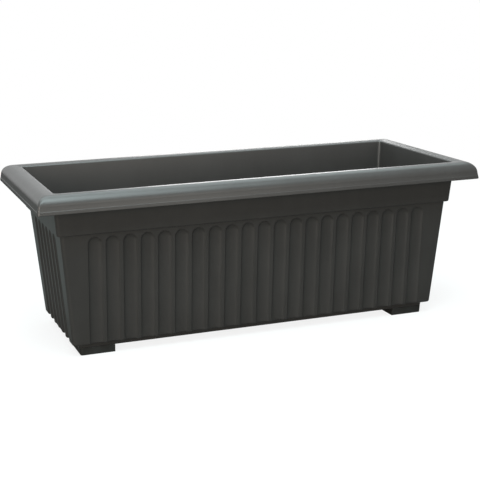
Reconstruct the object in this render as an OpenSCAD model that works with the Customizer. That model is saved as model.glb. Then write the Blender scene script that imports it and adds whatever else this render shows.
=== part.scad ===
/* [Overall size] */
// Length over the rim
overall_length = 600; // [500:5:800]
// Width over the rim
overall_width = 262.5; // [230:2.5:340]
// Height from the ground to the crest of the rim
overall_height = 217.5; // [190:2.5:280]
// Slope of the walls from the vertical, in degrees
draft = 4.8; // [2:0.1:6]
// Thickness of the moulding
wall = 3; // [2:0.1:3.4]

/* [Rim] */
// How far the lip stands out from the band
rim_overhang = 23.4; // [22:0.1:32]
// Height from the bottom of the lip to the crest
rim_drop = 22; // [20:0.5:30]
// Height of the bead along the bottom of the lip
lip_height = 4.5; // [2:0.5:6]
// How far that bead stands out
lip_proud = 0.8; // [0.3:0.1:1.5]
// How far the skirt of the rim leans in
skirt_lean = 0.7; // [0.3:0.1:1.5]
// Radius of the roll from the skirt to the crest
roll_radius = 13.5; // [11:0.5:15]
// Thickness of the skirt
skirt_wall = 2.6; // [2:0.1:3]
// Radius along which the top falls towards the mouth
top_radius = 46; // [35:1:80]
// Radius of the edge of the mouth
mouth_radius = 1.8; // [1:0.1:2.2]
// Radius of the upright corners of the rim
rim_corner = 4; // [2:0.5:6]

/* [Band and walls] */
// Height of the plain band, down from the crest
band_height = 56; // [45:1:80]
// How far the band stands out from the fluted wall
band_proud = 4.6; // [3.4:0.1:6]
// Radius of the lower edge of the band
band_edge = 1.6; // [0.8:0.1:2.4]
// Radius of the upright corners, outside and inside
wall_corner = 5; // [3.5:0.5:8]
// Radius of the lower edge of the walls
wall_edge = 1.5; // [0.8:0.1:2.4]

/* [Flutes] */
// Distance between the middles of two flutes
flute_pitch = 22.45; // [21:0.05:30]
// Width of a flute
flute_width = 17.6; // [14:0.1:18.4]
// Depth of a flute
flute_depth = 3; // [2:0.1:3.2]
// Plain wall between the top of a flute and the band
flute_margin = 4.4; // [3:0.1:12]
// Least plain wall between the last flute and the corner
corner_land = 20; // [16:1:24]

/* [Base] */
// Height of the base under the walls
base_height = 6; // [4.5:0.5:10]
// How far the base is set in at the ends
base_inset_end = 9.8; // [8:0.2:12]
// How far the base is set in at the long sides
base_inset_side = 6.8; // [5:0.2:9]
// Radius of the upright corners of the base
base_corner = 3.5; // [2.5:0.5:6]
// Diameter of a drain hole
drain_diameter = 10; // [6:0.5:14]
// Distance between the drain holes along the trough
drain_spacing = 120; // [90:5:125]
// Distance between the two rows of drain holes
drain_row = 90; // [70:5:100]

/* [Feet] */
// Height of a foot
foot_height = 10; // [8:0.5:20]
// Size of a foot along the trough
foot_length = 45; // [36:1:60]
// Size of a foot across the trough
foot_width = 42; // [36:1:50]
// Thickness of the walls of a foot
foot_wall = 3; // [2:0.1:4]
// Diameter of the peg on a foot
peg_diameter = 8; // [6:0.5:10]
// Length of the peg above the foot
peg_length = 8; // [6:0.5:10]
// Distance between the two pegs of a foot
peg_spacing = 20; // [18:1:22]
// Gap round the peg, on the radius
peg_clearance = 0.1; // [0.05:0.01:0.2]
// Chamfer round the end of the peg
peg_chamfer = 0.8; // [0.4:0.1:1.5]
// Free space over the end of the peg
peg_headroom = 0.5; // [0.3:0.1:1]
// Thickness of the socket round the peg
socket_wall = 2.5; // [2:0.1:3.5]

/* [Hidden] */

graphite = [0.22, 0.22, 0.21];
graphite_dark = [0.17, 0.17, 0.16];

half_length = overall_length / 2;
half_width = overall_width / 2;
slope = tan(draft);
corner_lean = atan(slope * sqrt(2));

lip_bottom = overall_height - rim_drop;
band_bottom = overall_height - band_height;
base_bottom = foot_height;
wall_bottom = base_bottom + base_height;
floor_top = base_bottom + wall;
mouth_in = rim_overhang + wall;
crest_in = lip_proud + skirt_lean + roll_radius;
roll_centre = overall_height - roll_radius;

flute_radius = (pow(flute_width / 2, 2) + pow(flute_depth, 2)) / (2 * flute_depth);
flute_gap = flute_pitch - flute_width;
flute_offset = flute_radius - flute_depth;
flute_end = band_bottom - flute_margin - flute_width / 2;

// How much thicker the top of the rim is than its skirt
roof_extra = 1.5;

// Steps of an arc, and of a small rounded edge, and facets round a full turn
arc_steps = 8;
edge_steps = 4;
facets = 48;

// How far an outline, a cutter and a drill run past what they cut
beyond = 40;
overlap = 6;
past = 1;

// Distances in from the outermost edge of the rim, at a height z
function band_in(z) = rim_overhang + (overall_height - z) * slope;
function wall_in(z) = band_in(z) + band_proud;
function base_in(z, inset) = wall_in(wall_bottom) + inset + (wall_bottom - z) * slope;

// Where the outer faces of a foot meet the ground
foot_out = half_length - base_in(0, base_inset_end);
foot_side = half_width - base_in(0, base_inset_side);

// Points of an arc in a section, from one angle to another
function arc(centre, radius, from, to, steps = arc_steps) =
    [for (i = [0:steps]) centre + radius * [cos(from + (to - from) * i / steps),
                                            sin(from + (to - from) * i / steps)]];

// Height of the top of the rim, falling from the crest to the mouth
function rim_top(s) = overall_height - pow(s - crest_in, 2) / (2 * top_radius);

// The solid between two sloping ends and two sloping sides, whose outline is a
// list of [distance in from the rim's edge, height] from the bottom to the top
module four_sided(end_outline, side_outline) {
    intersection() {
        rotate([90, 0, 0])
            linear_extrude(overall_width + 2 * beyond, center = true)
                outline_across(half_length, end_outline);
        rotate([90, 0, 90])
            linear_extrude(overall_length + 2 * beyond, center = true)
                outline_across(half_width, side_outline);
    }
}

module outline_across(half, outline) {
    last = len(outline) - 1;
    polygon(concat([for (p = outline) [half - p[0], p[1]]],
                   [for (i = [0:last]) [outline[last - i][0] - half, outline[last - i][1]]]));
}

// What is taken off a sharp upright corner to round it. The corner leans inwards
// by lean degrees, and the planes on its two sides lie at an angle of 2 * spread
module corner_waste(radius, lean, height) {
    spread = acos(pow(sin(draft) * (lean > 0 ? 1 : 0), 2)) / 2;
    step = 2 * spread / arc_steps;
    centre = [-radius / cos(spread), 0];
    first = -spread + step;
    last = spread - step;
    reach = 3 * radius;
    round_part = [for (i = [1:arc_steps - 2])
        centre + radius / cos(step / 2) * [cos(-spread + (i + 0.5) * step),
                                           sin(-spread + (i + 0.5) * step)]];
    start_point = centre + radius * [cos(first), sin(first)] + reach * [sin(first), -cos(first)];
    end_point = centre + radius * [cos(last), sin(last)] + reach * [-sin(last), cos(last)];
    rotate([0, lean, 45])
        translate([0, 0, -overlap])
            linear_extrude(height + 2 * overlap)
                polygon(concat([start_point], round_part,
                               [end_point, [2 * reach, reach], [2 * reach, -reach]]));
}

// Stands its children at the four corners where the sides meet at height z, which
// lie end_in from the ends and side_in from the long sides of the rim
module at_corners(end_in, side_in, z) {
    for (mx = [0, 1], my = [0, 1])
        mirror([mx, 0, 0])
            mirror([0, my, 0])
                translate([half_length - end_in, half_width - side_in, z])
                    children();
}

// Stands its children on the outside of each wall, at each flute
module at_flutes() {
    for (turn = [0, 180])
        rotate([0, 0, turn])
            flute_row(half_length, half_width)
                children();
    for (turn = [90, 270])
        rotate([0, 0, turn])
            flute_row(half_width, half_length)
                children();
}

module flute_row(along, away) {
    room = 2 * (along - wall_in(wall_bottom) - corner_land) + flute_gap;
    count = floor(room / flute_pitch);
    for (i = [0:count - 1])
        translate([(i - (count - 1) / 2) * flute_pitch, wall_in(wall_bottom) - away, wall_bottom])
            rotate([draft, 0, 0])
                children();
}

// A round groove with a domed top, sunk in the wall it stands on
module flute(radius) {
    rise = (flute_end - wall_bottom) / cos(draft);
    translate([0, -flute_offset, -overlap])
        cylinder(r = radius, h = rise + overlap, $fn = facets);
    translate([0, -flute_offset, rise])
        sphere(r = radius, $fn = facets);
}

module fluted_walls() {
    top = band_bottom + overlap;
    edge_centre = [wall_in(wall_bottom) + wall_edge, wall_bottom + wall_edge];
    outline = concat(arc(edge_centre, wall_edge, 270, 180, edge_steps), [[wall_in(top), top]]);
    difference() {
        four_sided(outline, outline);
        at_corners(wall_in(wall_bottom), wall_in(wall_bottom), wall_bottom)
            corner_waste(wall_corner, corner_lean, top - wall_bottom);
        at_flutes()
            flute(flute_radius);
    }
}

module band() {
    top = rim_top(mouth_in);
    edge_centre = [band_in(band_bottom) + band_edge, band_bottom + band_edge];
    outline = concat(arc(edge_centre, band_edge, 270, 180, edge_steps), [[band_in(top), top]]);
    difference() {
        four_sided(outline, outline);
        at_corners(band_in(band_bottom), band_in(band_bottom), band_bottom)
            corner_waste(wall_corner, corner_lean, top - band_bottom);
    }
}

// The set-in base, or what lies along its slopes, between two heights
module base_block(bottom, top, inwards = 0) {
    end_in = base_in(bottom, base_inset_end) + inwards;
    side_in = base_in(bottom, base_inset_side) + inwards;
    fall = (top - bottom) * slope;
    difference() {
        four_sided([[end_in, bottom], [end_in - fall, top]], [[side_in, bottom], [side_in - fall, top]]);
        at_corners(end_in, side_in, bottom)
            corner_waste(base_corner, corner_lean, top - bottom);
    }
}

// The hollow roll with its skirt, before the mouth is cut through it
module rolled_rim() {
    bead_top = lip_bottom + lip_height;
    roof_radius = roll_radius - skirt_wall - roof_extra;
    outline = concat([[0, lip_bottom], [0, bead_top - lip_proud], [lip_proud, bead_top]],
                     arc([crest_in, roll_centre], roll_radius, 180, 90, 2 * arc_steps));
    channel = concat([[skirt_wall, lip_bottom - overlap], [lip_proud + skirt_wall, bead_top]],
                     arc([crest_in - roof_extra, roll_centre], roof_radius, 180, 90));
    difference() {
        four_sided(outline, outline);
        at_corners(0, 0, lip_bottom)
            corner_waste(rim_corner, 0, rim_drop);
        four_sided(channel, channel);
    }
}

// The rounded edge of the mouth and the fall towards it. The edge meets the drafted
// inner wall without a step and runs round the corners, while the fall is mitred
module mouth() {
    fall = atan((mouth_in - mouth_radius - crest_in) / top_radius);
    edge_depth = overall_height - rim_top(mouth_in) + mouth_radius;
    middle = mouth_in + edge_depth * slope - mouth_radius / cos(draft);
    turn = middle + mouth_radius * sin(fall);
    height = rim_top(turn) - mouth_radius * cos(fall);
    above = overall_height + overlap;
    edge = concat(arc([middle, height], mouth_radius, draft, 90 - fall, edge_steps), [[turn, above]]);
    corner = mouth_in + wall_corner;
    slope_points = [for (i = [0:arc_steps])
        let (s = turn + (crest_in - turn) * i / arc_steps) [s, rim_top(s)]];
    fall_outline = concat(slope_points, [[crest_in, above]]);
    difference() {
        four_sided(edge, edge);
        at_corners(corner, corner, height - overlap)
            cube([beyond, beyond, beyond]);
    }
    four_sided(fall_outline, fall_outline);
    at_corners(corner, corner, 0)
        rotate_extrude($fn = facets)
            polygon(concat([[0, edge[0][1]]], [for (p = edge) [corner - p[0], p[1]]], [[0, above]]));
}

module cavity() {
    shoulder = band_bottom + wall;
    ledge = wall_bottom + wall;
    top = rim_top(mouth_in);
    lower_in = wall_in(ledge) + wall;
    upper_in = band_in(shoulder) + wall;
    lower = [[lower_in, ledge], [wall_in(shoulder + past) + wall, shoulder + past]];
    upper = [[upper_in, shoulder], [band_in(top) + wall, top]];
    difference() {
        four_sided(lower, lower);
        at_corners(lower_in, lower_in, ledge)
            corner_waste(wall_corner, corner_lean, shoulder - ledge);
        at_flutes()
            flute(flute_radius + wall);
    }
    difference() {
        four_sided(upper, upper);
        at_corners(upper_in, upper_in, shoulder)
            corner_waste(wall_corner, corner_lean, top - shoulder);
    }
    base_block(floor_top, ledge + past, wall);
    mouth();
}

module drain_holes() {
    length = 2 * (foot_out - foot_length) - drain_diameter;
    count = floor(length / drain_spacing) + 1;
    for (i = [0:count - 1], side = [-1, 1])
        translate([(i - (count - 1) / 2) * drain_spacing, side * drain_row / 2, base_bottom - past])
            cylinder(d = drain_diameter, h = wall + 2 * past, $fn = facets);
}

// Stands its children at each peg of the foot in the corner that is given
module at_pegs(mx, my) {
    mirror([mx, 0, 0])
        mirror([0, my, 0])
            for (end = [-1, 1])
                translate([foot_out - foot_length / 2 + end * peg_spacing / 2,
                           foot_side - foot_width / 2, base_bottom])
                    children();
}

module tub() {
    socket_depth = peg_length + peg_headroom;
    socket_radius = peg_diameter / 2 + peg_clearance;
    color(graphite)
        difference() {
            union() {
                difference() {
                    union() {
                        fluted_walls();
                        band();
                        base_block(base_bottom, wall_bottom + wall / 2);
                        rolled_rim();
                    }
                    cavity();
                }
                for (mx = [0, 1], my = [0, 1])
                    at_pegs(mx, my)
                        translate([0, 0, wall / 2])
                            cylinder(r = socket_radius + socket_wall,
                                     h = socket_depth + socket_wall - wall / 2,
                                     $fn = facets);
            }
            for (mx = [0, 1], my = [0, 1])
                at_pegs(mx, my)
                    translate([0, 0, -past])
                        cylinder(r = socket_radius, h = socket_depth + past, $fn = facets);
            drain_holes();
        }
}

// A peg with a chamfered end, rooted in the top of the foot
module peg() {
    radius = peg_diameter / 2;
    rotate_extrude($fn = facets)
        polygon([[0, -foot_wall / 2],
                 [radius, -foot_wall / 2],
                 [radius, peg_length - peg_chamfer],
                 [radius - peg_chamfer, peg_length],
                 [0, peg_length]]);
}

// A cored foot whose outer faces run on from the base, with two pegs on top
module foot(mx, my) {
    cell_length = (foot_length - 3 * foot_wall) / 2;
    cell_width = (foot_width - 3 * foot_wall) / 2;
    cell_height = foot_height - foot_wall;
    inner_end = foot_out - foot_length;
    inner_side = foot_side - foot_width;
    color(graphite_dark) {
        mirror([mx, 0, 0])
            mirror([0, my, 0])
                difference() {
                    intersection() {
                        base_block(0, foot_height);
                        translate([inner_end, inner_side, -past])
                            cube([foot_length + beyond, foot_width + beyond, foot_height + 2 * past]);
                    }
                    for (i = [0, 1], j = [0, 1])
                        translate([inner_end + foot_wall + i * (cell_length + foot_wall),
                                   inner_side + foot_wall + j * (cell_width + foot_wall),
                                   -past])
                            cube([cell_length, cell_width, cell_height + past]);
                }
        at_pegs(mx, my)
            peg();
    }
}

module foot_front_left() { foot(1, 1); }
module foot_front_right() { foot(0, 1); }
module foot_back_left() { foot(1, 0); }
module foot_back_right() { foot(0, 0); }

tub();
foot_front_left();
foot_front_right();
foot_back_left();
foot_back_right();
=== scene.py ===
"""Looks of a moulded trough planter: a fluted tub with a rolled rim, on four push-in feet.

Every size is a real size in metres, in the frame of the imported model. The tub and the feet are
modelled again here with the rounded edges that the moulding has, and stand for their solids.
"""

import logging
import math
from dataclasses import dataclass, field
from enum import Enum
from typing import Callable, Iterable

import bmesh
import bpy
from mathutils import Matrix, Vector


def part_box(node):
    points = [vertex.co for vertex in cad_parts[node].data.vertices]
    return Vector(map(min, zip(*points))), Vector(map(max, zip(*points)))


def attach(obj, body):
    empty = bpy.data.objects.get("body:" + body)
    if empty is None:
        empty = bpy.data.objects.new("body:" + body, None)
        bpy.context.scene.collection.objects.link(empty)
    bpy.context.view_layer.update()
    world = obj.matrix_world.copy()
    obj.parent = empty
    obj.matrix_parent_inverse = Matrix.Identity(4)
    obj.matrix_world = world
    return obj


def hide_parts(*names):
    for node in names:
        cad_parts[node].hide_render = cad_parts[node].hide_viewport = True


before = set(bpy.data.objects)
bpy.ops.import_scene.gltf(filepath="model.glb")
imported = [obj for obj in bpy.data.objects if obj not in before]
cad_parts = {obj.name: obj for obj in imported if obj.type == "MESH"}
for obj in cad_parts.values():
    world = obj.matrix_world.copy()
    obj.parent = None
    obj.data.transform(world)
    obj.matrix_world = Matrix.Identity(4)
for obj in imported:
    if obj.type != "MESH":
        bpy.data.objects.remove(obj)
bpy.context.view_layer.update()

LOG = logging.getLogger("trough")
MM = 0.001
# Points closer than NEAR count as one, and those closer than CUT_NEAR to a cut count as on it.
NEAR = 0.02 * MM
CUT_NEAR = NEAR / 10
# Side of the photograph in pixels.
PHOTO_SIDE = 480
# Tints of the lamps and of the surroundings.
WHITE = "#FFFFFF"
WARM = "#FFF6EA"
COOL = "#E0F4F6"

# A point in a section or in plan, and a place, a move or a turn in space.
Point = tuple[float, float]
Place = tuple[float, float, float]
# Indices of a ring's points by the signs of x and y of the corner or side where they lie.
Groups = dict[tuple[int, int], list[int]]


class Side(Enum):
    """The four sides of the trough, each with its turn about the vertical in degrees."""

    FRONT = 0
    RIGHT = 90
    BACK = 180
    LEFT = 270


@dataclass(frozen=True)
class Ring:
    """One level section of the moulding: a rectangle with rounded corners at a height."""

    half_x: float
    half_y: float
    z: float
    corner: float


def arc(centre: Point, radius: float, start: float, end: float, steps: int) -> list[Point]:
    """Gives the points of an arc in a section.

    Args:
        centre: Middle of the arc, as distance in from the rim's edge and height.
        radius: Radius of the arc.
        start: First angle in degrees.
        end: Last angle in degrees.
        steps: Number of steps between them.

    Returns:
        The points from the first angle to the last.
    """
    angles = [math.radians(start + (end - start) * i / steps) for i in range(steps + 1)]
    return [(centre[0] + radius * math.cos(a), centre[1] + radius * math.sin(a)) for a in angles]


def linear(hex_colour: str) -> tuple[float, float, float, float]:
    """Turns an sRGB hex colour into linear RGBA.

    Args:
        hex_colour: The colour as six hex digits after a hash sign.

    Returns:
        The colour as four numbers from 0 to 1.
    """
    parts = [int(hex_colour[i:i + 2], 16) / 255 for i in (1, 3, 5)]
    red, green, blue = [c / 12.92 if c <= 0.04045 else ((c + 0.055) / 1.055) ** 2.4 for c in parts]
    return (red, green, blue, 1.0)


def add_node(tree: bpy.types.NodeTree, kind: str, settings: dict[str, object] | None = None,
             inputs: dict[str | int, object] | None = None) -> bpy.types.Node:
    """Adds a node with its settings, and sets or links its inputs.

    Args:
        tree: The node tree.
        kind: The kind of node, as Blender names its type.
        settings: Properties of the node.
        inputs: For each input, a value or the output socket that goes into it.

    Returns:
        The new node.
    """
    node = tree.nodes.new(kind)
    for key, value in (settings or {}).items():
        setattr(node, key, value)
    for key, value in (inputs or {}).items():
        if isinstance(value, bpy.types.NodeSocket):
            tree.links.new(value, node.inputs[key])
        else:
            node.inputs[key].default_value = value
    return node


def empty_tree(owner: bpy.types.Material | bpy.types.World) -> bpy.types.NodeTree:
    """Gives a material or a world a node tree without nodes.

    Args:
        owner: The material or the world.

    Returns:
        Its node tree.
    """
    owner.use_nodes = True
    owner.node_tree.nodes.clear()
    return owner.node_tree


def clear_selection() -> None:
    """Leaves no object selected."""
    for item in bpy.context.selected_objects:
        item.select_set(False)


def activate(*items: bpy.types.Object) -> bpy.types.Object:
    """Selects only the given objects and makes the first one active.

    Args:
        items: The objects, the active one first.

    Returns:
        The active object.
    """
    clear_selection()
    for item in items:
        item.select_set(True)
    bpy.context.view_layer.objects.active = items[0]
    return items[0]


def named(item: bpy.types.Object, name: str) -> bpy.types.Object:
    """Names an object and its mesh alike.

    Args:
        item: The object.
        name: Its new name.

    Returns:
        The same object.
    """
    item.name = item.data.name = name
    return item


def new_object(name: str, add: Callable[..., set], **settings: object) -> bpy.types.Object:
    """Adds a primitive whose place is in its mesh.

    Args:
        name: Name of the new object.
        add: The operator that adds the primitive.
        settings: What the operator is given.

    Returns:
        The new object, selected and active.
    """
    clear_selection()
    add(**settings)
    item = named(bpy.context.object, name)
    bpy.ops.object.transform_apply(location=True, rotation=True, scale=True)
    return item


def copy_of(item: bpy.types.Object, name: str) -> bpy.types.Object:
    """Copies an object with its own mesh.

    Args:
        item: The object to copy.
        name: Name of the copy.

    Returns:
        The copy.
    """
    twin = item.copy()
    twin.data = item.data.copy()
    bpy.context.scene.collection.objects.link(twin)
    return named(twin, name)


def place(item: bpy.types.Object, location: Place = (0, 0, 0), turn: Place = (0, 0, 0)) -> None:
    """Turns and moves an object, and applies this and its scale to its mesh.

    Args:
        item: The object.
        location: Where its origin goes.
        turn: Its turns about X, Y and Z in radians, in that order.
    """
    activate(item)
    item.location = location
    item.rotation_euler = turn
    bpy.ops.object.transform_apply(location=True, rotation=True, scale=True)


def joined(items: list[bpy.types.Object], name: str) -> bpy.types.Object:
    """Joins objects into the first one.

    Args:
        items: The objects.
        name: Name of the result.

    Returns:
        The joined object.
    """
    whole = activate(*items)
    if len(items) > 1:
        bpy.ops.object.join()
    return named(whole, name)


def apply_modifier(item: bpy.types.Object, kind: str, **settings: object) -> None:
    """Adds a modifier to an object and applies it.

    Args:
        item: The object.
        kind: The kind of modifier.
        settings: Its settings.
    """
    activate(item)
    modifier = item.modifiers.new(kind.title(), kind)
    for key, value in settings.items():
        setattr(modifier, key, value)
    bpy.ops.object.modifier_apply(modifier=modifier.name)


def combine(item: bpy.types.Object, tool: bpy.types.Object, operation: str) -> None:
    """Adds a solid to an object or cuts it out, and removes the tool.

    Args:
        item: The object that stays.
        tool: The solid that is added or cut out.
        operation: UNION or DIFFERENCE.
    """
    apply_modifier(item, "BOOLEAN", operation=operation, solver="EXACT", object=tool)
    bpy.data.objects.remove(tool)


def dress(item: bpy.types.Object, material: bpy.types.Material) -> None:
    """Gives an object one material all over.

    Args:
        item: The object.
        material: The material.
    """
    item.data.materials.clear()
    item.data.materials.append(material)


def finish_surface(item: bpy.types.Object, angle: float = 32.0, weight: int = 50) -> None:
    """Shades a finished piece smooth with flat faces kept flat.

    Args:
        item: The piece.
        angle: Edges sharper than this many degrees stay sharp.
        weight: How strongly large faces keep their own direction, where 50 is by area alone.
    """
    activate(item)
    bpy.ops.object.shade_smooth_by_angle(angle=math.radians(angle))
    apply_modifier(item, "WEIGHTED_NORMAL", mode="FACE_AREA", weight=weight, keep_sharp=True)


class Bench:
    """A mesh that is being shaped in edit mode, with its points selected by their place."""

    def __init__(self, item: bpy.types.Object) -> None:
        """Opens an object in edit mode.

        Args:
            item: The object.
        """
        self.item = activate(item)
        bpy.ops.object.mode_set(mode="EDIT")
        bpy.ops.mesh.select_mode(type="VERT")

    def __enter__(self) -> "Bench":
        """Gives the open bench."""
        return self

    def __exit__(self, *problem: object) -> None:
        """Leaves edit mode."""
        bpy.ops.object.mode_set(mode="OBJECT")

    def mesh(self) -> bmesh.types.BMesh:
        """Looks up the mesh.

        Returns:
            The mesh as it now stands, with its table of points.
        """
        mesh = bmesh.from_edit_mesh(self.item.data)
        mesh.verts.ensure_lookup_table()
        return mesh

    def pick(self, test: Callable[[Vector], bool]) -> list[int]:
        """Selects the points whose place passes a test, and gives their indices."""
        return self.pick_points(v.index for v in self.mesh().verts if test(v.co))

    def pick_points(self, points: Iterable[int]) -> list[int]:
        """Selects points by index, with the edges and faces between them.

        Args:
            points: The indices.

        Returns:
            The same indices as a list.
        """
        chosen = list(points)
        bpy.ops.mesh.select_all(action="DESELECT")
        mesh = self.mesh()
        for index in chosen:
            mesh.verts[index].select_set(True)
        mesh.select_flush(True)
        return chosen

    def picked(self) -> list[int]:
        """Gives the indices of the selected points."""
        return [v.index for v in self.mesh().verts if v.select]

    def place_of(self, index: int) -> Vector:
        """Gives the place of one point."""
        return self.mesh().verts[index].co.copy()

    def extrude(self, move: Place = (0, 0, 0)) -> list[int]:
        """Extrudes the selected edges by a move, and gives the new points, which are selected."""
        bpy.ops.mesh.extrude_edges_move(TRANSFORM_OT_translate={"value": move})
        return self.picked()

    def move(self, points: Iterable[int], by: Place) -> None:
        """Moves points by a distance."""
        self.pick_points(points)
        bpy.ops.transform.translate(value=by)

    def scale(self, points: Iterable[int], by: Place, centre: Place) -> None:
        """Scales points about a centre, where a factor of 0 lays them on a plane."""
        self.pick_points(points)
        bpy.ops.transform.resize(value=by, center_override=centre)

    def round_edges(self, width: float, steps: int) -> None:
        """Rounds the selected edges over a width on either side."""
        bpy.ops.mesh.bevel(offset=width, offset_type="OFFSET", affect="EDGES", segments=steps, profile=0.5)

    def raise_faces(self, height: float) -> None:
        """Extrudes the selected faces upwards."""
        bpy.ops.mesh.extrude_region_move(TRANSFORM_OT_translate={"value": (0, 0, height)})

    def bridge(self) -> None:
        """Joins the two open edges of the mesh with a strip of faces."""
        mesh = self.mesh()
        bpy.ops.mesh.select_all(action="DESELECT")
        for edge in mesh.edges:
            if len(edge.link_faces) == 1:
                edge.select_set(True)
        bmesh.update_edit_mesh(self.item.data)
        bpy.ops.mesh.select_mode(type="EDGE")
        bpy.ops.mesh.bridge_edge_loops()
        bpy.ops.mesh.select_mode(type="VERT")

    def weld(self) -> None:
        """Merges points that lie together."""
        bpy.ops.mesh.select_all(action="SELECT")
        bpy.ops.mesh.remove_doubles(threshold=NEAR)

    def outward(self) -> None:
        """Turns every face outwards."""
        bpy.ops.mesh.select_all(action="SELECT")
        bpy.ops.mesh.normals_make_consistent(inside=False)


@dataclass(frozen=True)
class TroughSizes:
    """The driving sizes of the trough, and the places that follow from them.

    They are the sizes of the solids. Sizes of small edges are added, which the solids leave sharp, and
    flute_axis, the distance of the middle of a flute's section outside the wall's face: that section is
    part of an ellipse, whose lips are steeper than those of the solids' round arc.
    """

    half_length: float
    half_width: float
    height: float
    draft: float = math.radians(4.8)
    wall: float = 3.0 * MM
    rim_overhang: float = 23.4 * MM
    rim_drop: float = 22.0 * MM
    lip_height: float = 4.5 * MM
    lip_proud: float = 0.8 * MM
    skirt_lean: float = 0.7 * MM
    roll_radius: float = 13.5 * MM
    roof_radius: float = 9.4 * MM
    skirt_wall: float = 2.6 * MM
    top_radius: float = 46.0 * MM
    mouth_radius: float = 1.8 * MM
    band_height: float = 56.0 * MM
    band_proud: float = 4.6 * MM
    band_edge: float = 1.6 * MM
    wall_corner: float = 5.0 * MM
    wall_edge: float = 1.5 * MM
    flute_pitch: float = 22.45 * MM
    flute_width: float = 17.6 * MM
    flute_depth: float = 3.0 * MM
    flute_margin: float = 4.4 * MM
    flute_edge: float = 0.42 * MM
    flute_axis: float = 0.5 * MM
    corner_land: float = 20.0 * MM
    base_height: float = 6.0 * MM
    base_inset_end: float = 9.8 * MM
    base_inset_side: float = 6.8 * MM
    base_corner: float = 3.5 * MM
    drain_radius: float = 5.0 * MM
    drain_spacing: float = 120.0 * MM
    drain_row: float = 90.0 * MM
    foot_height: float = 10.0 * MM
    foot_length: float = 45.0 * MM
    foot_width: float = 42.0 * MM
    foot_wall: float = 3.0 * MM
    peg_radius: float = 4.0 * MM
    peg_length: float = 8.0 * MM
    peg_chamfer: float = 0.8 * MM
    peg_spacing: float = 20.0 * MM
    peg_clearance: float = 0.1 * MM
    peg_headroom: float = 0.5 * MM
    socket_wall: float = 2.5 * MM

    @property
    def slope(self) -> float:
        """How far a wall leans out for each unit of height."""
        return math.tan(self.draft)

    @property
    def lip_bottom(self) -> float:
        """Height of the lower edge of the lip."""
        return self.height - self.rim_drop

    @property
    def band_bottom(self) -> float:
        """Height of the lower edge of the band."""
        return self.height - self.band_height

    @property
    def wall_bottom(self) -> float:
        """Height of the lower edge of the walls."""
        return self.foot_height + self.base_height

    @property
    def crest_in(self) -> float:
        """Distance of the crest in from the edge of the rim."""
        return self.lip_proud + self.skirt_lean + self.roll_radius

    @property
    def mouth_in(self) -> float:
        """Distance of the inner wall in from the edge of the rim, at the top."""
        return self.rim_overhang + self.wall

    @property
    def flute_radius(self) -> float:
        """Radius of a flute's round section in the solids, which the ribs inside follow."""
        return ((self.flute_width / 2) ** 2 + self.flute_depth ** 2) / (2 * self.flute_depth)

    @property
    def flute_end(self) -> float:
        """Height of the middle of a flute's domed top."""
        return self.band_bottom - self.flute_margin - self.flute_width / 2

    @property
    def foot_out(self) -> float:
        """Where the outer end of a foot meets the ground."""
        return self.half_length - self.base_in(0.0, self.base_inset_end)

    @property
    def foot_side(self) -> float:
        """Where the outer side of a foot meets the ground."""
        return self.half_width - self.base_in(0.0, self.base_inset_side)

    def band_in(self, z: float) -> float:
        """Distance of the band in from the edge of the rim."""
        return self.rim_overhang + (self.height - z) * self.slope

    def wall_in(self, z: float) -> float:
        """Distance of the fluted wall in from the edge of the rim."""
        return self.band_in(z) + self.band_proud

    def base_in(self, z: float, inset: float) -> float:
        """Distance of the base in from the edge of the rim."""
        return self.wall_in(self.wall_bottom) + inset + (self.wall_bottom - z) * self.slope

    def rim_top(self, inwards: float) -> float:
        """Height of the top of the rim, falling from the crest to the mouth."""
        return self.height - (inwards - self.crest_in) ** 2 / (2 * self.top_radius)

    def flute_count(self, half: float) -> int:
        """How many flutes a wall takes.

        Args:
            half: Half of the rim's length along that wall.

        Returns:
            The number of flutes.
        """
        gap = self.flute_pitch - self.flute_width
        room = 2 * (half - self.wall_in(self.wall_bottom) - self.corner_land) + gap
        return int(room / self.flute_pitch)

    def ring(self, inwards: float, z: float, corner: float) -> Ring:
        """Gives the ring that lies one distance in from the rim's edge all round."""
        return Ring(self.half_length - inwards, self.half_width - inwards, z, corner)


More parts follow.
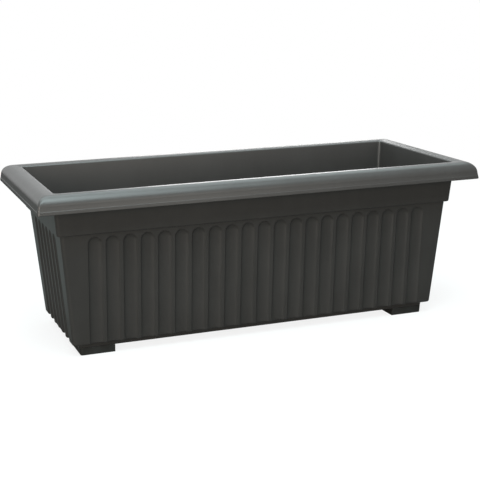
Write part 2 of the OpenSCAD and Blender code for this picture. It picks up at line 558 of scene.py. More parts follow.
@dataclass
class FlutedSleeve:
    """The fluted stretch of the four walls, as one face of the moulding.

    The outer face has the flutes, and the inner face has the round ribs behind them. The section of
    a flute or rib is the part of an ellipse or circle that lies behind the face, from lip to lip.
    A point within lip_near of a flute's lip counts as on it. Points within end_near of the sleeve's
    top or bottom, and what the lean of the wall adds to that, are laid level with it.
    """

    name: str
    sizes: TroughSizes
    inwards: float
    bottom: float
    top: float
    circle_points: int = 48
    dome_steps: int = 12
    edge_steps: int = 3
    corner_steps: int = 8
    lip_near: float = 0.1 * MM
    end_near: float = 0.5 * MM
    axis_out: float = field(init=False)
    half_across: float = field(init=False)
    half_deep: float = field(init=False)
    rise: float = field(init=False)
    dome_height: float = field(init=False)

    def __post_init__(self) -> None:
        """Works out the section from the thickness of the moulding that lies outside this face."""
        sizes = self.sizes
        lean = math.cos(sizes.draft)
        if self.inwards:
            self.half_across = self.half_deep = sizes.flute_radius + self.inwards
            self.axis_out = sizes.flute_radius - sizes.flute_depth + self.inwards
        else:
            self.axis_out = sizes.flute_axis
            self.half_deep = sizes.flute_depth + sizes.flute_axis
            self.half_across = sizes.flute_width / 2 / self.share_across()
        self.rise = (self.top - self.bottom) / lean
        raised = self.inwards * math.sin(sizes.draft)
        self.dome_height = (sizes.flute_end - self.bottom) / lean + raised

    def share_across(self) -> float:
        """Gives the share of the section's full width that its lips span."""
        return math.sqrt(1 - (self.axis_out / self.half_deep) ** 2)

    def ring_at(self, z: float) -> Ring:
        """Gives the level section of this face, without its flutes."""
        return self.sizes.ring(self.sizes.wall_in(z) + self.inwards, z, self.sizes.wall_corner)

    def cell(self) -> bpy.types.Object:
        """Models one flute with the strip of wall around it.

        The wall stands upright in the plane y = 0, with its outer side towards -y.

        Returns:
            The cell, as wide as the pitch of the flutes.
        """
        middle = (0, -self.axis_out, self.dome_height)
        item = new_object(self.name, bpy.ops.mesh.primitive_circle_add, vertices=self.circle_points,
                          radius=self.half_across, location=middle)
        with Bench(item) as bench:
            bpy.ops.mesh.select_all(action="SELECT")
            bpy.ops.transform.resize(value=(1, self.half_deep / self.half_across, 1), center_override=middle)
            bpy.ops.mesh.bisect(plane_co=(0, 0, 0), plane_no=(0, 1, 0), clear_inner=True, threshold=CUT_NEAR)
            bench.pick(lambda p: p.x > -NEAR)
            bpy.ops.mesh.spin(steps=self.dome_steps, angle=math.pi, center=(0, 0, self.dome_height),
                              axis=(0, 1, 0))
            bench.weld()
            bench.pick(lambda p: abs(p.z - self.dome_height) < NEAR)
            bench.extrude((0, 0, -self.dome_height))
            bench.pick(lambda p: abs(p.y) < NEAR)
            self.frame_outline(bench, bench.extrude())
            lip = self.half_across * self.share_across()
            bench.pick(lambda p: abs(p.y) < NEAR and abs(self.from_axis(p) - lip) < self.lip_near)
            bench.round_edges(self.sizes.flute_edge, self.edge_steps)
            bench.outward()
        return item

    def from_axis(self, point: Vector) -> float:
        """Distance of a place on the wall from the flute's middle line or the middle of its dome."""
        return math.hypot(point.x, max(0.0, point.z - self.dome_height))

    def frame_outline(self, bench: Bench, outline: list[int]) -> None:
        """Spreads the extruded outline of a flute onto the edges of its cell.

        Args:
            bench: The open cell.
            outline: The points of the outline.
        """
        half_pitch = self.sizes.flute_pitch / 2
        places = {index: bench.place_of(index) for index in outline}
        corner, slack = math.pi / 4, 0.01
        angles = {i: math.atan2(max(0.0, p.z - self.dome_height), p.x) for i, p in places.items()}
        right = [i for i, a in angles.items() if a < corner + slack]
        left = [i for i, a in angles.items() if a > math.pi - corner - slack]
        upper = [i for i, a in angles.items() if corner - slack < a < math.pi - corner + slack]
        spread = half_pitch / max(abs(places[i].x) for i in upper)
        bench.scale(upper, (spread, 1, 0), (0, 0, self.rise))
        bench.scale(right, (0, 1, 1), (half_pitch, 0, 0))
        bench.scale(left, (0, 1, 1), (-half_pitch, 0, 0))

    def panel(self, half_run: float, count: int) -> bpy.types.Object:
        """Models one whole wall of flutes, cut to its mitres.

        Args:
            half_run: Half of the wall's length along its lower edge, to the sharp corner.
            count: Number of flutes.

        Returns:
            The wall, leaning out by its draft, with the middle of its lower edge at the origin.
        """
        pitch = self.sizes.flute_pitch
        item = self.cell()
        apply_modifier(item, "ARRAY", count=count, use_relative_offset=False, use_constant_offset=True,
                       constant_offset_displace=(pitch, 0, 0), use_merge_vertices=True,
                       merge_threshold=NEAR)
        place(item, (-(count - 1) * pitch / 2, 0, 0))
        edge = count * pitch / 2
        land = half_run - edge + 2 * self.rise * self.sizes.slope
        with Bench(item) as bench:
            for way in (-1, 1):
                bench.pick(lambda p, way=way: abs(p.x * way - edge) < NEAR)
                bench.extrude((way * land, 0, 0))
        place(item, turn=(self.sizes.draft, 0, 0))
        with Bench(item) as bench:
            for way in (-1, 1):
                bpy.ops.mesh.select_all(action="SELECT")
                bpy.ops.mesh.bisect(plane_co=(way * half_run, 0, 0), plane_no=(way, 1, 0), clear_outer=True)
        return item

    def build(self) -> bpy.types.Object:
        """Models the four walls as one sleeve with rounded corners.

        Returns:
            The sleeve, open at the bottom and at the top.
        """
        foot = self.ring_at(self.bottom)
        long_wall = self.panel(foot.half_x, self.sizes.flute_count(self.sizes.half_length))
        end_wall = self.panel(foot.half_y, self.sizes.flute_count(self.sizes.half_width))
        walls = []
        for side in Side:
            along = side in (Side.FRONT, Side.BACK)
            source, away = (long_wall, foot.half_y) if along else (end_wall, foot.half_x)
            turn = math.radians(side.value)
            wall = copy_of(source, self.name)
            place(wall, (away * math.sin(turn), -away * math.cos(turn), self.bottom), (0, 0, turn))
            walls.append(wall)
        bpy.data.objects.remove(long_wall)
        bpy.data.objects.remove(end_wall)
        sleeve = joined(walls, self.name)
        with Bench(sleeve) as bench:
            bench.weld()
            spread = foot.half_x - foot.half_y
            bench.pick(lambda p: abs(abs(p.x) - abs(p.y) - spread) < NEAR)
            bench.round_edges(self.sizes.wall_corner, self.corner_steps)
            bench.outward()
            for z in (self.bottom, self.top):
                reach = self.inwards * self.sizes.slope + self.end_near
                end = bench.pick(lambda p, z=z: abs(p.z - z) < reach)
                bench.scale(end, (1, 1, 0), (0, 0, z))
        return sleeve


class RingShaper:
    """Extrudes a level ring of edges from section to section, keeping its corners round.

    Points up to corner_slack before the start of a corner's round count as the corner's.
    """

    corner_slack: float = 0.4 * MM

    def __init__(self, bench: Bench, ring: Ring) -> None:
        """Takes up the points that lie at the height of the given section, and follow it.

        Args:
            bench: The open mesh.
            ring: The section.
        """
        self.bench = bench
        self.ring = ring
        self.points = bench.pick(lambda p: abs(p.z - ring.z) < NEAR)

    def groups(self) -> tuple[Groups, Groups]:
        """Sorts the ring's points into its corners and its four straight sides.

        Returns:
            The points of each corner, and those of each side, where one of the signs is 0.
        """
        reach_x = self.ring.half_x - self.ring.corner - self.corner_slack
        reach_y = self.ring.half_y - self.ring.corner - self.corner_slack
        corners: Groups = {}
        sides: Groups = {}
        verts = self.bench.mesh().verts
        for index in self.points:
            spot = verts[index].co
            sign = (1 if spot.x > 0 else -1, 1 if spot.y > 0 else -1)
            at_end = abs(spot.x) > reach_x
            at_side = abs(spot.y) > reach_y
            if at_end and at_side:
                corners.setdefault(sign, []).append(index)
            elif at_end:
                sides.setdefault((sign[0], 0), []).append(index)
            else:
                sides.setdefault((0, sign[1]), []).append(index)
        return corners, sides

    def to(self, target: Ring, flat: bool = False) -> None:
        """Extrudes the ring to its next section.

        Args:
            target: The next section.
            flat: Whether the flutes end here, so that every side is laid flat.
        """
        bench = self.bench
        bench.pick_points(self.points)
        self.points = bench.extrude((0, 0, target.z - self.ring.z))
        corners, sides = self.groups()
        out_x = target.half_x - self.ring.half_x
        out_y = target.half_y - self.ring.half_y
        for (way_x, way_y), points in sides.items():
            moved = list(points)
            for (corner_x, corner_y), more in corners.items():
                if (way_x and corner_x == way_x) or (way_y and corner_y == way_y):
                    moved += more
            bench.move(moved, (way_x * out_x, way_y * out_y, 0))
            if flat:
                bench.scale(points, (0 if way_x else 1, 0 if way_y else 1, 1),
                            (way_x * target.half_x, way_y * target.half_y, 0))
        if abs(target.corner - self.ring.corner) > NEAR / 2:
            factor = target.corner / self.ring.corner
            for (way_x, way_y), points in corners.items():
                bench.scale(points, (factor, factor, 1), (way_x * target.half_x, way_y * target.half_y, 0))
        self.ring = target

    def fill(self) -> None:
        """Closes the ring with one flat face."""
        self.bench.pick_points(self.points)
        bpy.ops.mesh.edge_face_add()


@dataclass
class Tub:
    """The one-piece tub: fluted walls, band, hollow rolled rim, base, floor, drains and sockets.

    The raised lip along the rim's lower edge leans up a little, by lip_slant over its height, so that
    it catches the light as one thin pale line. Its upper edge is rounded from the first to the second
    angle of bead_arc, in degrees, and groove says how far behind and above it the skirt goes on. In
    plan, the rim's corners have the radius rim_corner at the lip, crest_corner at the crest and crease
    on the hidden side. A small rounded edge starts and ends twice fine_edge from the sharp corner, and
    passes it at ease times fine_edge.
    """

    sizes: TroughSizes
    rim_corner: float = 4.0 * MM
    crease: float = 2.2 * MM
    crest_corner: float = 5.5 * MM
    fine_edge: float = 0.5 * MM
    ease: float = 0.6
    lip_slant: float = 0.42 * MM
    bead_arc: tuple[float, float] = (173.0, 100.0)
    groove: tuple[Point, Point] = ((0.02 * MM, 0.1 * MM), (0.12 * MM, 0.9 * MM))
    bore_edge: float = 0.6 * MM
    round_points: int = 48
    wall_steps: int = 4
    band_steps: int = 5
    roof_steps: int = 7
    lip_steps: int = 3
    bead_steps: int = 4
    roll_steps: int = 14
    fall_steps: int = 5
    mouth_steps: int = 5

    def rings(self, points: Iterable[Point], corner: float) -> list[Ring]:
        """Gives the rings through points of the section, all with one corner radius."""
        return [self.sizes.ring(inwards, z, corner) for inwards, z in points]

    def band_rings(self) -> list[Ring]:
        """Gives the sections of the outer band and of the channel under the roll.

        Returns:
            The rings in order, the first one just outside the top of the fluted wall.
        """
        s = self.sizes
        fine = self.fine_edge
        low = s.band_bottom
        roll_z = s.height - s.roll_radius
        roof = roll_z + s.roof_radius
        roof_in = s.crest_in - (s.roll_radius - s.skirt_wall - s.roof_radius)
        band = arc((s.band_in(low) + s.band_edge, low + s.band_edge), s.band_edge,
                   270, 180 - math.degrees(s.draft), self.band_steps)
        band += [(s.band_in(roof - 2 * fine), roof - 2 * fine),
                 (s.band_in(roof) - self.ease * fine, roof - self.ease * fine),
                 (s.band_in(roof) - 2 * fine, roof)]
        channel = arc((roof_in, roll_z), s.roof_radius, 90, 180, self.roof_steps)
        return self.rings(band, s.wall_corner) + self.rings(channel, self.crease)

    def roll_rings(self) -> list[Ring]:
        """Gives the sections of the skirt's inner face, the raised lip and the roll up to the crest.

        Returns:
            The rings in order.
        """
        s = self.sizes
        fine = self.fine_edge
        lip_z = s.lip_bottom + fine
        lip_top = s.lip_bottom + s.lip_height
        round_off = s.lip_proud - self.lip_slant
        inside = [(s.lip_proud + s.skirt_wall, lip_top), (s.skirt_wall + fine, lip_z)]
        inside += arc((s.skirt_wall, lip_z), fine, 0, -90, self.lip_steps - 1)
        lip = arc((fine, lip_z), fine, 270, 180, self.lip_steps)
        lip += arc((s.lip_proud, lip_top - round_off), round_off, *self.bead_arc, self.bead_steps)
        groove = [(s.lip_proud + behind, lip_top + above) for behind, above in self.groove]
        corner = self.rim_corner - s.lip_proud
        rings = self.rings(inside, self.crease)
        rings += self.rings(lip, self.rim_corner)
        rings += self.rings(groove, corner)
        roll = arc((s.crest_in, s.height - s.roll_radius), s.roll_radius, 180, 90, self.roll_steps)
        for i, (inwards, z) in enumerate(roll):
            rings.append(s.ring(inwards, z, corner + (self.crest_corner - corner) * i / self.roll_steps))
        return rings

    def top_rings(self) -> list[Ring]:
        """Gives the sections from the crest over the mouth's edge down to the inner shoulder.

        Returns:
            The rings in order, the last one just above the top of the inner walls.
        """
        s = self.sizes
        fine = self.fine_edge
        fall = math.atan((s.mouth_in - s.mouth_radius - s.crest_in) / s.top_radius)
        edge_depth = s.height - s.rim_top(s.mouth_in) + s.mouth_radius
        edge_in = s.mouth_in + edge_depth * s.slope - s.mouth_radius / math.cos(s.draft)
        turn = edge_in + s.mouth_radius * math.sin(fall)
        edge_z = s.rim_top(turn) - s.mouth_radius * math.cos(fall)
        widening = s.wall_corner + s.mouth_radius - self.crest_corner
        rings = []
        for i in range(1, self.fall_steps + 1):
            inwards = s.crest_in + (turn - s.crest_in) * i / self.fall_steps
            corner = self.crest_corner + widening * (i / self.fall_steps) ** 2
            rings.append(s.ring(inwards, s.rim_top(inwards), corner))
        edge = arc((edge_in, edge_z), s.mouth_radius, 90 - math.degrees(fall), math.degrees(s.draft),
                   self.mouth_steps)
        rings += [s.ring(inwards, z, s.wall_corner + s.mouth_in - inwards) for inwards, z in edge[1:]]
        shoulder = s.band_bottom + s.wall
        inner = s.band_in(shoulder) + s.wall
        ribs = s.wall_in(shoulder) + s.wall
        return rings + self.rings([(inner - 2 * fine * s.slope, shoulder + 2 * fine),
                                   (inner + self.ease / 2 * fine, shoulder + self.ease * fine),
                                   (inner + 2 * fine, shoulder), (ribs - 2 * fine, shoulder),
                                   (ribs - fine / 2, shoulder - fine / 2)], s.wall_corner)

    def add_rim(self, bench: Bench, outer: FlutedSleeve) -> None:
        """Extrudes the band, the rim and the inner shoulder from the top of the outer walls.

        Args:
            bench: The open mesh of the outer walls.
            outer: The outer walls.
        """
        shaper = RingShaper(bench, outer.ring_at(outer.top))
        for ring in self.band_rings() + self.roll_rings() + self.top_rings():
            shaper.to(ring)

    def add_base(self, bench: Bench, outer: FlutedSleeve) -> None:
        """Extrudes the walls' lower edge and the set-in base under it.

        Args:
            bench: The open mesh of the outer walls.
            outer: The outer walls.
        """
        s = self.sizes
        shaper = RingShaper(bench, outer.ring_at(outer.bottom))
        edge_in = s.wall_in(s.wall_bottom) + s.wall_edge
        edge = arc((edge_in, s.wall_bottom + s.wall_edge), s.wall_edge, 180, 270, self.wall_steps)
        for ring in self.rings(edge[1:], s.wall_corner):
            shaper.to(ring)
        self.sink(shaper, s.wall_bottom, s.foot_height, 0.0)

    def sink(self, shaper: RingShaper, ledge: float, face: float, inwards: float) -> None:
        """Extrudes a ledge, the set-in wall below it and a level face, and closes that.

        Args:
            shaper: What holds the ring at the edge of the ledge.
            ledge: Height of the ledge.
            face: Height of the face.
            inwards: How far the wall lies inside the outer face of the base.
        """
        fine = self.fine_edge
        self.base_ring(shaper, ledge, inwards - fine, True)
        self.base_ring(shaper, ledge - fine, inwards)
        for up, further in ((2.0, 0.0), (self.ease, self.ease), (0.0, 2.0)):
            self.base_ring(shaper, face + up * fine, inwards + further * fine)
        shaper.fill()

    def base_ring(self, shaper: RingShaper, z: float, inwards: float, flat: bool = False) -> None:
        """Extrudes to a section of the base.

        Args:
            shaper: What holds the ring.
            z: Height of the section.
            inwards: How far it lies inside the outer face of the base.
            flat: Whether the flutes end here.
        """
        s = self.sizes
        target = Ring(s.half_length - s.base_in(z, s.base_inset_end) - inwards,
                      s.half_width - s.base_in(z, s.base_inset_side) - inwards, z, s.base_corner)
        shaper.to(target, flat)

    def peg_places(self) -> list[Point]:
        """Gives the places of the pegs.

        Returns:
            The middle of each peg of the four feet.
        """
        s = self.sizes
        middle_x = s.foot_out - s.foot_length / 2
        middle_y = s.foot_side - s.foot_width / 2
        ends = [middle_x - s.peg_spacing / 2, middle_x + s.peg_spacing / 2]
        return [(mx * x, my * middle_y) for mx in (-1, 1) for my in (-1, 1) for x in ends]

    def drain_places(self) -> list[Point]:
        """Gives the places of the drain holes.

        Returns:
            The middle of each hole.
        """
        s = self.sizes
        length = 2 * (s.foot_out - s.foot_length) - 2 * s.drain_radius
        count = int(length / s.drain_spacing) + 1
        along = [(i - (count - 1) / 2) * s.drain_spacing for i in range(count)]
        return [(x, side * s.drain_row / 2) for x in along for side in (-1, 1)]

    def turned(self, name: str, profile: list[Point], places: list[Point]) -> bpy.types.Object:
        """Models a round solid once and stands a copy at each place.

        Args:
            name: Name of the solids.
            profile: Radius and height of each step, from the bottom to the top.
            places: Where the copies stand.

        Returns:
            All the copies as one object.
        """
        first_radius, first_z = profile[0]
        item = new_object(name, bpy.ops.mesh.primitive_circle_add, vertices=self.round_points,
                          radius=first_radius, fill_type="NGON", location=(0, 0, first_z))
        with Bench(item) as bench:
            bpy.ops.mesh.select_all(action="SELECT")
            for (radius, z), (next_radius, next_z) in zip(profile, profile[1:]):
                bench.raise_faces(next_z - z)
                factor = next_radius / radius
                bpy.ops.transform.resize(value=(factor, factor, 1), center_override=(0, 0, next_z))
            bench.outward()
        copies = []
        for x, y in places:
            twin = copy_of(item, name)
            place(twin, (x, y, 0))
            copies.append(twin)
        bpy.data.objects.remove(item)
        return joined(copies, name)

    def fit_bosses(self, item: bpy.types.Object) -> None:
        """Adds the bosses on the floor and cuts the blind sockets and the drain holes.

        Args:
            item: The closed tub.
        """
        s = self.sizes
        edge = self.bore_edge
        bore = s.peg_radius + s.peg_clearance
        outside = bore + s.socket_wall
        low, high = s.foot_height, s.foot_height + s.wall
        depth = s.peg_length + s.peg_headroom
        boss_top = low + depth + s.socket_wall
        boss = [(outside + edge, low + s.wall / 2), (outside + edge, high), (outside, high + edge),
                (outside, boss_top - edge), (outside - edge, boss_top)]
        socket = [(bore + 2 * edge, low - edge), (bore, low + edge), (bore, low + depth)]
        drain = [(s.drain_radius + 2 * edge, low - edge), (s.drain_radius, low + edge),
                 (s.drain_radius, high - edge), (s.drain_radius + 2 * edge, high + edge)]
        combine(item, self.turned("boss", boss, self.peg_places()), "UNION")
        combine(item, self.turned("socket", socket, self.peg_places()), "DIFFERENCE")
        combine(item, self.turned("drain", drain, self.drain_places()), "DIFFERENCE")

    def build(self) -> bpy.types.Object:
        """Models the whole tub.

        Returns:
            The tub as one closed mesh.
        """
        s = self.sizes
        shoulder = s.band_bottom + s.wall
        outer = FlutedSleeve("tub_outer", s, 0.0, s.wall_bottom + s.wall_edge, s.band_bottom)
        inner = FlutedSleeve("tub_inner", s, s.wall, s.wall_bottom + s.wall, shoulder - self.fine_edge)
        outer_item = outer.build()
        inner_item = inner.build()
        with Bench(outer_item) as bench:
            self.add_base(bench, outer)
            self.add_rim(bench, outer)
        with Bench(inner_item) as bench:
            shaper = RingShaper(bench, inner.ring_at(inner.bottom))
            self.sink(shaper, inner.bottom, s.foot_height + s.wall, s.wall)
        tub = joined([outer_item, inner_item], "tub_shell")
        with Bench(tub) as bench:
            bench.bridge()
            bench.weld()
            bench.outward()
        self.fit_bosses(tub)
        return tub


@dataclass
class Foot:
    """One push-in foot: a drafted block, cored from below into four cells, with two pegs on top."""

    sizes: TroughSizes
    edge: float = 0.6 * MM
    edge_angle: float = math.radians(35)
    edge_steps: int = 3
    corner_steps: int = 6
    columns: int = 5

    def lines(self, inner: float, size: float) -> list[float]:
        """Gives the places of the walls' faces across the foot.

        Args:
            inner: Place of the inner face.
            size: Size of the foot that way.

        Returns:
            The six places from the inner face to the outer face.
        """
        wall = self.sizes.foot_wall
        cell = (size - 3 * wall) / 2
        steps = [0.0, wall, wall + cell, 2 * wall + cell, size - wall, size]
        return [inner + step for step in steps]

    def block(self) -> bpy.types.Object:
        """Models the cored block of the foot.

        Returns:
            The block in the corner where x and y are positive.
        """
        s = self.sizes
        inner = (s.foot_out - s.foot_length, s.foot_side - s.foot_width)
        lines_x = self.lines(inner[0], s.foot_length)
        lines_y = self.lines(inner[1], s.foot_width)
        item = new_object("foot_block", bpy.ops.mesh.primitive_grid_add, x_subdivisions=self.columns,
                          y_subdivisions=self.columns, size=1.0, location=(0.5, 0.5, 0))
        item.scale = (s.foot_length, s.foot_width, 1)
        place(item, (*inner, 0))
        with Bench(item) as bench:
            for axis, lines in ((0, lines_x), (1, lines_y)):
                step = (lines[-1] - lines[0]) / self.columns
                even = [lines[0] + i * step for i in range(len(lines))]
                rows = [bench.pick(lambda p, at=at: abs(p[axis] - at) < NEAR) for at in even]
                for row, line, at in zip(rows, lines, even):
                    bench.move(row, (line - at, 0, 0) if axis == 0 else (0, line - at, 0))
            bpy.ops.mesh.select_all(action="SELECT")
            bench.raise_faces(s.foot_height)
            grow = s.foot_height * s.slope
            bench.move(bench.pick(lambda p: p.z > NEAR and p.x > s.foot_out - NEAR), (grow, 0, 0))
            bench.move(bench.pick(lambda p: p.z > NEAR and p.y > s.foot_side - NEAR), (0, grow, 0))
            self.core(bench, lines_x, lines_y)
            bench.outward()
            bench.pick(lambda p: p.x > s.foot_out - NEAR and p.y > s.foot_side - NEAR)
            bench.round_edges(s.base_corner, self.corner_steps)
        return item

    def core(self, bench: Bench, lines_x: list[float], lines_y: list[float]) -> None:
        """Pushes the four cells of the block up from below.

        Args:
            bench: The open block.
            lines_x: Places of the walls' faces along x.
            lines_y: Places of the walls' faces along y.
        """
        cells = range(1, self.columns, 2)
        for i in cells:
            for j in cells:
                bench.pick(lambda p, i=i, j=j: p.z < NEAR and lines_x[i] - NEAR < p.x < lines_x[i + 1] + NEAR
                           and lines_y[j] - NEAR < p.y < lines_y[j + 1] + NEAR)
                bench.raise_faces(self.sizes.foot_height - self.sizes.foot_wall)

    def build(self, tub: Tub) -> bpy.types.Object:
        """Models the foot with its pegs.

        Args:
            tub: The tub, which says where the pegs stand.

        Returns:
            The foot in the corner where x and y are positive.
        """
        s = self.sizes
        item = self.block()
        apply_modifier(item, "BEVEL", width=self.edge, segments=self.edge_steps, limit_method="ANGLE",
                       angle_limit=self.edge_angle)
        places = [p for p in tub.peg_places() if p[0] > 0 and p[1] > 0]
        top = s.foot_height
        profile = [(s.peg_radius, top - s.foot_wall / 2), (s.peg_radius, top + s.peg_length - s.peg_chamfer),
                   (s.peg_radius - s.peg_chamfer, top + s.peg_length)]
        combine(item, tub.turned("peg", profile, places), "UNION")
        return item


@dataclass
class FootSet:
    """The four feet, one in each corner, made from one model."""

    sizes: TroughSizes

    def build(self, tub: Tub) -> list[bpy.types.Object]:
        """Models one foot and sets its mirror images in the other corners.

        Args:
            tub: The tub that the feet are pushed into.

        Returns:
            The four feet.
        """
        model = Foot(self.sizes).build(tub)
        feet = []
        for depth, way_y in (("front", -1), ("back", 1)):
            for hand, way_x in (("left", -1), ("right", 1)):
                foot = copy_of(model, f"foot_{depth}_{hand}_moulded")
                foot.scale = (way_x, way_y, 1)
                place(foot)
                with Bench(foot) as bench:
                    bench.weld()
                    bench.outward()
                finish_surface(foot)
                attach(foot, "root")
                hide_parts(f"foot_{depth}_{hand}")
                feet.append(foot)
        bpy.data.objects.remove(model)
        return feet


@dataclass(frozen=True)
class MouldedPolypropylene:
    """Injection-moulded polypropylene with a spark-eroded grain, dyed graphite in the mass.

    Its satin skin gives a soft, broad gleam along the rim, and faces seen square on stay dark. The
    colour varies very little, in wide clouds with a share, mix, of upright flow marks, which
    flow_squash draws out along z, and of a small mottle. The grain is drawn at 0.9 mm, coarser than
    the real one of about 0.1 mm, together with a noise that is finer by the factor finer. It only
    softens the gleam at the photo's scale.
    """

    name: str
    deep: str
    tone: str
    grain: float = 0.9 * MM
    cloud: float = 70.0 * MM
    streak: float = 9.0 * MM
    flow_squash: float = 0.12
    mottle: float = 2.7 * MM
    mix: float = 0.35
    finer: float = 1.7
    ior: float = 1.49
    specular: float = 0.40
    rough_low: float = 0.345
    rough_high: float = 0.375
    grain_depth: float = 0.007 * MM

    def material(self) -> bpy.types.Material:
        """Builds the material.

        Returns:
            The material, which reads object coordinates.
        """
        material = bpy.data.materials.new(self.name)
        tree = empty_tree(material)
        spot = add_node(tree, "ShaderNodeTexCoord").outputs["Object"]
        cloud = add_node(tree, "ShaderNodeTexNoise", None,
                         {"Vector": spot, "Scale": 1 / self.cloud, "Detail": 4.0, "Roughness": 0.55})
        flow = add_node(tree, "ShaderNodeMapping", None,
                        {"Vector": spot, "Scale": (1.0, 1.0, self.flow_squash)})
        streak = add_node(tree, "ShaderNodeTexNoise", None,
                          {"Vector": flow.outputs[0], "Scale": 1 / self.streak, "Detail": 3.0,
                           "Roughness": 0.6})
        mottle = add_node(tree, "ShaderNodeTexNoise", None,
                          {"Vector": spot, "Scale": 1 / self.mottle, "Detail": 2.0, "Roughness": 0.7})
        blend = add_node(tree, "ShaderNodeMath", {"operation": "MULTIPLY_ADD"},
                         {0: streak.outputs[0], 1: self.mix, 2: cloud.outputs[0]})
        blend = add_node(tree, "ShaderNodeMath", {"operation": "MULTIPLY_ADD"},
                         {0: mottle.outputs[0], 1: self.mix, 2: blend.outputs[0]})
        spread = add_node(tree, "ShaderNodeMapRange", {"interpolation_type": "SMOOTHSTEP"},
                          {"Value": blend.outputs[0], "From Min": 0.6, "From Max": 1.1})
        colour = add_node(tree, "ShaderNodeMix", {"data_type": "RGBA"},
                          {"Factor": spread.outputs[0], "A": linear(self.deep), "B": linear(self.tone)})
        rough = add_node(tree, "ShaderNodeMapRange", None,
                         {"Value": streak.outputs[0], "From Min": 0.3, "From Max": 0.7,
                          "To Min": self.rough_low, "To Max": self.rough_high})
        pits = add_node(tree, "ShaderNodeTexVoronoi", {"feature": "SMOOTH_F1"},
                        {"Vector": spot, "Scale": 1 / self.grain, "Smoothness": 0.6})
        fine = add_node(tree, "ShaderNodeTexNoise", None,
                        {"Vector": spot, "Scale": self.finer / self.grain, "Detail": 3.0, "Roughness": 0.6})
        relief = add_node(tree, "ShaderNodeMath", {"operation": "ADD"},
                          {0: pits.outputs["Distance"], 1: fine.outputs[0]})
        bump = add_node(tree, "ShaderNodeBump", None,
                        {"Height": relief.outputs[0], "Distance": self.grain_depth, "Strength": 1.0})
        shader = add_node(tree, "ShaderNodeBsdfPrincipled", None,
                          {"Base Color": colour.outputs["Result"], "Roughness": rough.outputs[0],
                           "IOR": self.ior, "Specular IOR Level": self.specular, "Normal": bump.outputs[0]})
        add_node(tree, "ShaderNodeOutputMaterial", None, {"Surface": shader.outputs[0]})
        return material


@dataclass(frozen=True)
class Viewpoint:
    """Where the photograph was taken from, in millimetres and radians, with its focal length."""

    place_mm: Place = (-542.573, -1438.105, 477.241)
    yaw: float = -0.36257
    pitch: float = -0.23429
    roll: float = -0.01167
    focal_pixels: float = 1145.269
    sensor_mm: float = 36.0
    clip_start: float = 0.05
    clip_end: float = 60.0

    def build(self) -> None:
        """Adds the camera and makes it the scene's own."""
        ahead = math.cos(self.pitch)
        forward = Vector((-math.sin(self.yaw) * ahead, math.cos(self.yaw) * ahead, math.sin(self.pitch)))
        level = Vector((math.cos(self.yaw), math.sin(self.yaw), 0))
        upright = level.cross(forward)
        right = level * math.cos(self.roll) + upright * math.sin(self.roll)
        up = upright * math.cos(self.roll) - level * math.sin(self.roll)
        camera = bpy.data.cameras.new("photo_view")
        camera.sensor_width = self.sensor_mm
        camera.lens = self.focal_pixels / PHOTO_SIDE * self.sensor_mm
        camera.clip_start = self.clip_start
        camera.clip_end = self.clip_end
        item = bpy.data.objects.new("photo_view", camera)
        bpy.context.scene.collection.objects.link(item)
        turn = Matrix((right, up, -forward)).transposed().to_4x4()
        item.matrix_world = Matrix.Translation(Vector(self.place_mm) * MM) @ turn
        bpy.context.scene.camera = item


@dataclass(frozen=True)
class SoftBox:
    """One soft studio lamp, a lit panel that is itself kept out of the picture."""

    name: str
    place: Place
    size: tuple[float, float]
    power: float
    tint: str = WHITE
    aim: Place = (0.0, 0.0, 0.11)

    def build(self) -> None:
        """Adds the lamp."""
        lamp = bpy.data.lights.new(self.name, "AREA")
        lamp.shape = "RECTANGLE"
        lamp.size, lamp.size_y = self.size
        lamp.energy = self.power
        lamp.color = linear(self.tint)[:3]
        item = bpy.data.objects.new(self.name, lamp)
        bpy.context.scene.collection.objects.link(item)
        item.location = self.place
        item.rotation_euler = (Vector(self.place) - Vector(self.aim)).to_track_quat("Z", "Y").to_euler()
        item.visible_camera = False


@dataclass(frozen=True)
class Board:
    """The plain floor under the trough: a white board that keeps the trough's faint shadow.

    To the camera it is white, and fades to an even white away from the trough, so that no edge
    shows. The light that it throws back onto the trough is that of a matt grey table.
    """

    side: float = 9.0
    pale: str = "#F4F4F3"
    table: str = "#6C6C6A"
    shadow_share: float = 0.15
    fade_from: float = 0.45
    fade_to: float = 1.3

    def build(self) -> None:
        """Lays the board with its material."""
        item = new_object("floor", bpy.ops.mesh.primitive_plane_add, size=self.side, location=(0, 0, 0))
        dress(item, self.material())

    def material(self) -> bpy.types.Material:
        """Builds the board's material.

        Returns:
            The material, which reads object coordinates and the kind of ray.
        """
        material = bpy.data.materials.new("matt_board")
        tree = empty_tree(material)
        camera_ray = add_node(tree, "ShaderNodeLightPath").outputs["Is Camera Ray"]
        spot = add_node(tree, "ShaderNodeTexCoord").outputs["Object"]
        away = add_node(tree, "ShaderNodeVectorMath", {"operation": "LENGTH"}, {0: spot})
        shadow = add_node(tree, "ShaderNodeMapRange", {"interpolation_type": "SMOOTHSTEP"},
                          {"Value": away.outputs["Value"], "From Min": self.fade_from,
                           "From Max": self.fade_to, "To Min": 1 - self.shadow_share, "To Max": 1.0})
        seen = add_node(tree, "ShaderNodeMath", {"operation": "MULTIPLY"},
                        {0: camera_ray, 1: shadow.outputs[0]})
        colour = add_node(tree, "ShaderNodeMix", {"data_type": "RGBA"},
                          {"Factor": camera_ray, "A": linear(self.table), "B": linear(self.pale)})
        board = add_node(tree, "ShaderNodeBsdfDiffuse", None, {"Color": colour.outputs["Result"]})
        glow = add_node(tree, "ShaderNodeEmission", None, {"Color": linear(WHITE), "Strength": 1.0})
        mixed = add_node(tree, "ShaderNodeMixShader", None,
                         {0: seen.outputs[0], 1: board.outputs[0], 2: glow.outputs[0]})
        add_node(tree, "ShaderNodeOutputMaterial", None, {"Surface": mixed.outputs[0]})
        return material


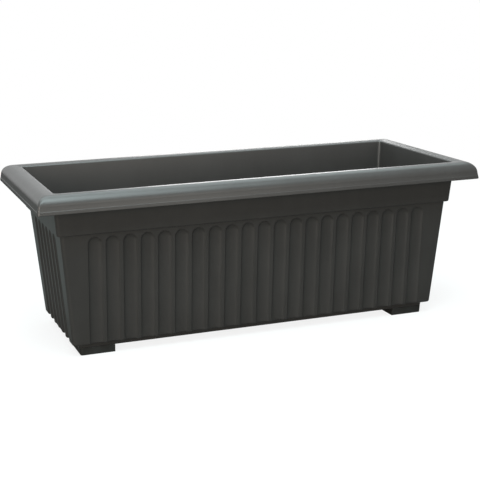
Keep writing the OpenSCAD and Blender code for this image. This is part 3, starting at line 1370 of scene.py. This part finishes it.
@dataclass(frozen=True)
class Studio:
    """The plain floor, the white surroundings and the soft lamps of a small product studio."""

    lamps: tuple[SoftBox, ...] = (
        SoftBox("key_front_left", (-1.690, -1.876, 0.560), (1.0, 1.0), 38.0, WARM),
        SoftBox("low_front", (0.529, -2.488, 0.651), (0.8, 0.8), 9.0, WARM),
        SoftBox("overhead_front", (-0.25, -0.49, 1.6), (0.8, 1.22), 29.5, COOL),
        SoftBox("overhead_wide", (-0.25, -1.05, 1.48), (1.7, 1.1), 31.0, COOL, (-0.25, -1.05, 0.0)),
        SoftBox("overhead_back", (0.0, 0.69, 1.5), (2.4, 1.16), 31.5, COOL, (0.0, 0.69, 0.0)),
        SoftBox("back_left", (-1.570, 1.872, 0.999), (0.9, 0.9), 3.0, COOL),
        SoftBox("low_back_right", (0.9, 2.2, 0.55), (0.8, 0.6), 8.6),
    )

    def surroundings(self) -> None:
        """Makes the surroundings white to the camera, in reflections and through clear matter.

        They give no light of their own to the trough's matt side, which the lamps alone light.
        """
        world = bpy.data.worlds.new("white_room")
        bpy.context.scene.world = world
        tree = empty_tree(world)
        ray = add_node(tree, "ShaderNodeLightPath").outputs
        seen = add_node(tree, "ShaderNodeMath", {"operation": "MAXIMUM"},
                        {0: ray["Is Camera Ray"], 1: ray["Is Glossy Ray"]})
        seen = add_node(tree, "ShaderNodeMath", {"operation": "MAXIMUM"},
                        {0: seen.outputs[0], 1: ray["Is Transmission Ray"]})
        glow = add_node(tree, "ShaderNodeBackground", None,
                        {"Color": linear(WHITE), "Strength": seen.outputs[0]})
        add_node(tree, "ShaderNodeOutputWorld", None, {"Surface": glow.outputs[0]})

    def build(self) -> None:
        """Builds the floor, the surroundings, the lamps and the camera."""
        Board().build()
        self.surroundings()
        for lamp in self.lamps:
            lamp.build()
        Viewpoint().build()
        bpy.context.scene.view_settings.view_transform = "Standard"


@dataclass
class Trough:
    """The whole planter: the tub and its four feet, the feet in a darker copy of the tub's plastic whose
    darkness is painted shade.
    """

    sizes: TroughSizes
    tub_finish: MouldedPolypropylene = MouldedPolypropylene("graphite_polypropylene", "#2E2C2B", "#333130")
    # A darker copy of the tub's plastic for the feet: the darkness is painted shade, standing for the shade
    # under the base.
    shaded_foot_finish: MouldedPolypropylene = MouldedPolypropylene("graphite_polypropylene_painted_shade",
                                                             "#262625", "#2A2A29")

    def build(self) -> list[bpy.types.Object]:
        """Builds and dresses every piece.

        Returns:
            The finished pieces.
        """
        maker = Tub(self.sizes)
        tub = maker.build()
        finish_surface(tub)
        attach(tub, "root")
        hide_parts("tub")
        dress(tub, self.tub_finish.material())
        feet = FootSet(self.sizes).build(maker)
        # The feet's darker plastic carries painted shade.
        shaded_foot_material = self.shaded_foot_finish.material()
        for foot in feet:
            dress(foot, shaded_foot_material)
        return [tub, *feet]


def main() -> None:
    """Builds the studio and the trough, and reports each piece."""
    logging.basicConfig(level=logging.INFO, format="%(name)s: %(message)s")
    Studio().build()
    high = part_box("tub")[1]
    sizes = TroughSizes(half_length=high[0], half_width=high[1], height=high[2])
    for piece in Trough(sizes).build():
        LOG.info("%s: %d faces", piece.name, len(piece.data.polygons))
    bpy.context.view_layer.update()


if __name__ == "__main__":
    main()
